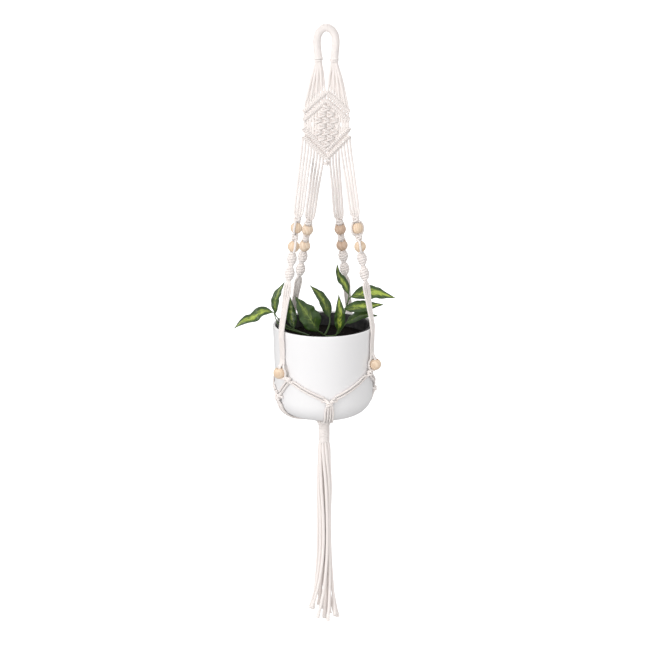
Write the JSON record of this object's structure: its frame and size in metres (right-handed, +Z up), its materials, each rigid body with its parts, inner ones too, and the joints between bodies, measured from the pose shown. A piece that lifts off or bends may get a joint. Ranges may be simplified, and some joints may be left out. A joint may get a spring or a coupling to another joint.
{
  "type": "hanging macrame planter",
  "caption": "Knotted cotton cord plant hanger with a wrapped loop, a diamond panel, beaded legs, a cradle and a tassel, holding a round white pot with a leafy plant.",
  "frame": {"origin": "underside of the loop's crown, where a hook bears", "axes": "+Z up, front towards -Y, +X to the right"},
  "size_m": [0.2784, 0.1902, 1.0646],
  "materials": {
    "cotton_cord": "undyed twisted cotton cord, matt and slightly fuzzy",
    "beech": "pale turned beech, smooth, unvarnished",
    "white_glaze": "white satin glaze",
    "liner_plastic": "black moulded plastic",
    "potting_soil": "dark crumbly potting soil",
    "leaf": "waxy variegated leaf"
  },
  "bodies": {
    "hanger": {"loop_core": "cotton_cord", "loop_wrap": "cotton_cord", "fan_left": "cotton_cord", "fan_right": "cotton_cord", "upper_chevrons": "cotton_cord", "panel_field": "cotton_cord", "lower_chevrons": "cotton_cord", "front_left_strands": "cotton_cord", "front_left_cords": "cotton_cord", "front_left_fork": "cotton_cord", "front_right_strands": "cotton_cord", "front_right_cords": "cotton_cord", "front_right_fork": "cotton_cord", "rear_right_strands": "cotton_cord", "rear_right_cords": "cotton_cord", "rear_right_fork": "cotton_cord", "rear_left_strands": "cotton_cord", "rear_left_cords": "cotton_cord", "rear_left_fork": "cotton_cord", "front_drop": "cotton_cord", "right_drop": "cotton_cord", "back_drop": "cotton_cord", "left_drop": "cotton_cord", "gather_core": "cotton_cord", "gather_wrap": "cotton_cord", "tassel_strand_01": "cotton_cord", "tassel_strand_02": "cotton_cord", "tassel_strand_03": "cotton_cord", "tassel_strand_04": "cotton_cord", "tassel_strand_05": "cotton_cord", "tassel_strand_06": "cotton_cord", "tassel_strand_07": "cotton_cord", "tassel_strand_08": "cotton_cord", "tassel_strand_09": "cotton_cord", "tassel_strand_10": "cotton_cord", "tassel_strand_11": "cotton_cord", "tassel_strand_12": "cotton_cord", "tassel_strand_13": "cotton_cord", "tassel_strand_14": "cotton_cord", "tassel_strand_15": "cotton_cord", "tassel_strand_16": "cotton_cord"},
    "front_left_bead_upper": {"front_left_bead_upper": "beech"},
    "front_left_bead_middle": {"front_left_bead_middle": "beech"},
    "front_left_bead_lower": {"front_left_bead_lower": "beech"},
    "front_right_bead_upper": {"front_right_bead_upper": "beech"},
    "front_right_bead_middle": {"front_right_bead_middle": "beech"},
    "front_right_bead_lower": {"front_right_bead_lower": "beech"},
    "rear_right_bead_upper": {"rear_right_bead_upper": "beech"},
    "rear_right_bead_middle": {"rear_right_bead_middle": "beech"},
    "rear_right_bead_lower": {"rear_right_bead_lower": "beech"},
    "rear_left_bead_upper": {"rear_left_bead_upper": "beech"},
    "rear_left_bead_middle": {"rear_left_bead_middle": "beech"},
    "rear_left_bead_lower": {"rear_left_bead_lower": "beech"},
    "pot": {"pot": "white_glaze"},
    "plant_insert": {"liner_pot": "liner_plastic", "soil": "potting_soil", "plant_left": "leaf", "plant_centre": "leaf", "plant_right": "leaf"}
  },
  "joints": [
    {"name": "pot_lift", "type": "slide", "parent": "hanger", "child": "pot", "axis": [0, 0, 1], "range_m": [0, 0.006]},
    {"name": "insert_lift", "type": "slide", "parent": "pot", "child": "plant_insert", "axis": [0, 0, 1], "range_m": [0, 0.022]},
    {"name": "front_left_bead_upper_spin", "type": "hinge", "parent": "hanger", "child": "front_left_bead_upper", "pos_m": [-0.05044, -0.02493, -0.324], "axis": [-0.1457, -0.1777, -0.9732], "continuous": true},
    {"name": "front_left_bead_middle_spin", "type": "hinge", "parent": "hanger", "child": "front_left_bead_middle", "pos_m": [-0.05503, -0.03053, -0.35466], "axis": [-0.1457, -0.1777, -0.9732], "continuous": true},
    {"name": "front_left_bead_lower_spin", "type": "hinge", "parent": "hanger", "child": "front_left_bead_lower", "pos_m": [-0.08006, -0.05942, -0.568], "axis": [0, 0, -1], "continuous": true},
    {"name": "front_right_bead_upper_spin", "type": "hinge", "parent": "hanger", "child": "front_right_bead_upper", "pos_m": [0.05202, -0.01736, -0.326], "axis": [0.1558, -0.1228, -0.9801], "continuous": true},
    {"name": "front_right_bead_middle_spin", "type": "hinge", "parent": "hanger", "child": "front_right_bead_middle", "pos_m": [0.05693, -0.02123, -0.35687], "axis": [0.1558, -0.1228, -0.9801], "continuous": true},
    {"name": "front_right_bead_lower_spin", "type": "hinge", "parent": "hanger", "child": "front_right_bead_lower", "pos_m": [0.08374, -0.04092, -0.558], "axis": [0, 0, -1], "continuous": true},
    {"name": "rear_right_bead_upper_spin", "type": "hinge", "parent": "hanger", "child": "rear_right_bead_upper", "pos_m": [0.02384, 0.03642, -0.339], "axis": [0.1011, 0.2662, -0.9586], "continuous": true},
    {"name": "rear_right_bead_middle_spin", "type": "hinge", "parent": "hanger", "child": "rear_right_bead_middle", "pos_m": [0.02702, 0.0448, -0.3692], "axis": [0.1011, 0.2662, -0.9586], "continuous": true},
    {"name": "rear_right_bead_lower_spin", "type": "hinge", "parent": "hanger", "child": "rear_right_bead_lower", "pos_m": [0.04291, 0.08463, -0.56], "axis": [0, 0, -1], "continuous": true},
    {"name": "rear_left_bead_upper_spin", "type": "hinge", "parent": "hanger", "child": "rear_left_bead_upper", "pos_m": [-0.03242, 0.03338, -0.3395], "axis": [-0.1629, 0.2425, -0.9564], "continuous": true},
    {"name": "rear_left_bead_middle_spin", "type": "hinge", "parent": "hanger", "child": "rear_left_bead_middle", "pos_m": [-0.03755, 0.04102, -0.36963], "axis": [-0.1629, 0.2425, -0.9564], "continuous": true},
    {"name": "rear_left_bead_lower_spin", "type": "hinge", "parent": "hanger", "child": "rear_left_bead_lower", "pos_m": [-0.06219, 0.07723, -0.562], "axis": [0, 0, -1], "continuous": true}
  ]
}
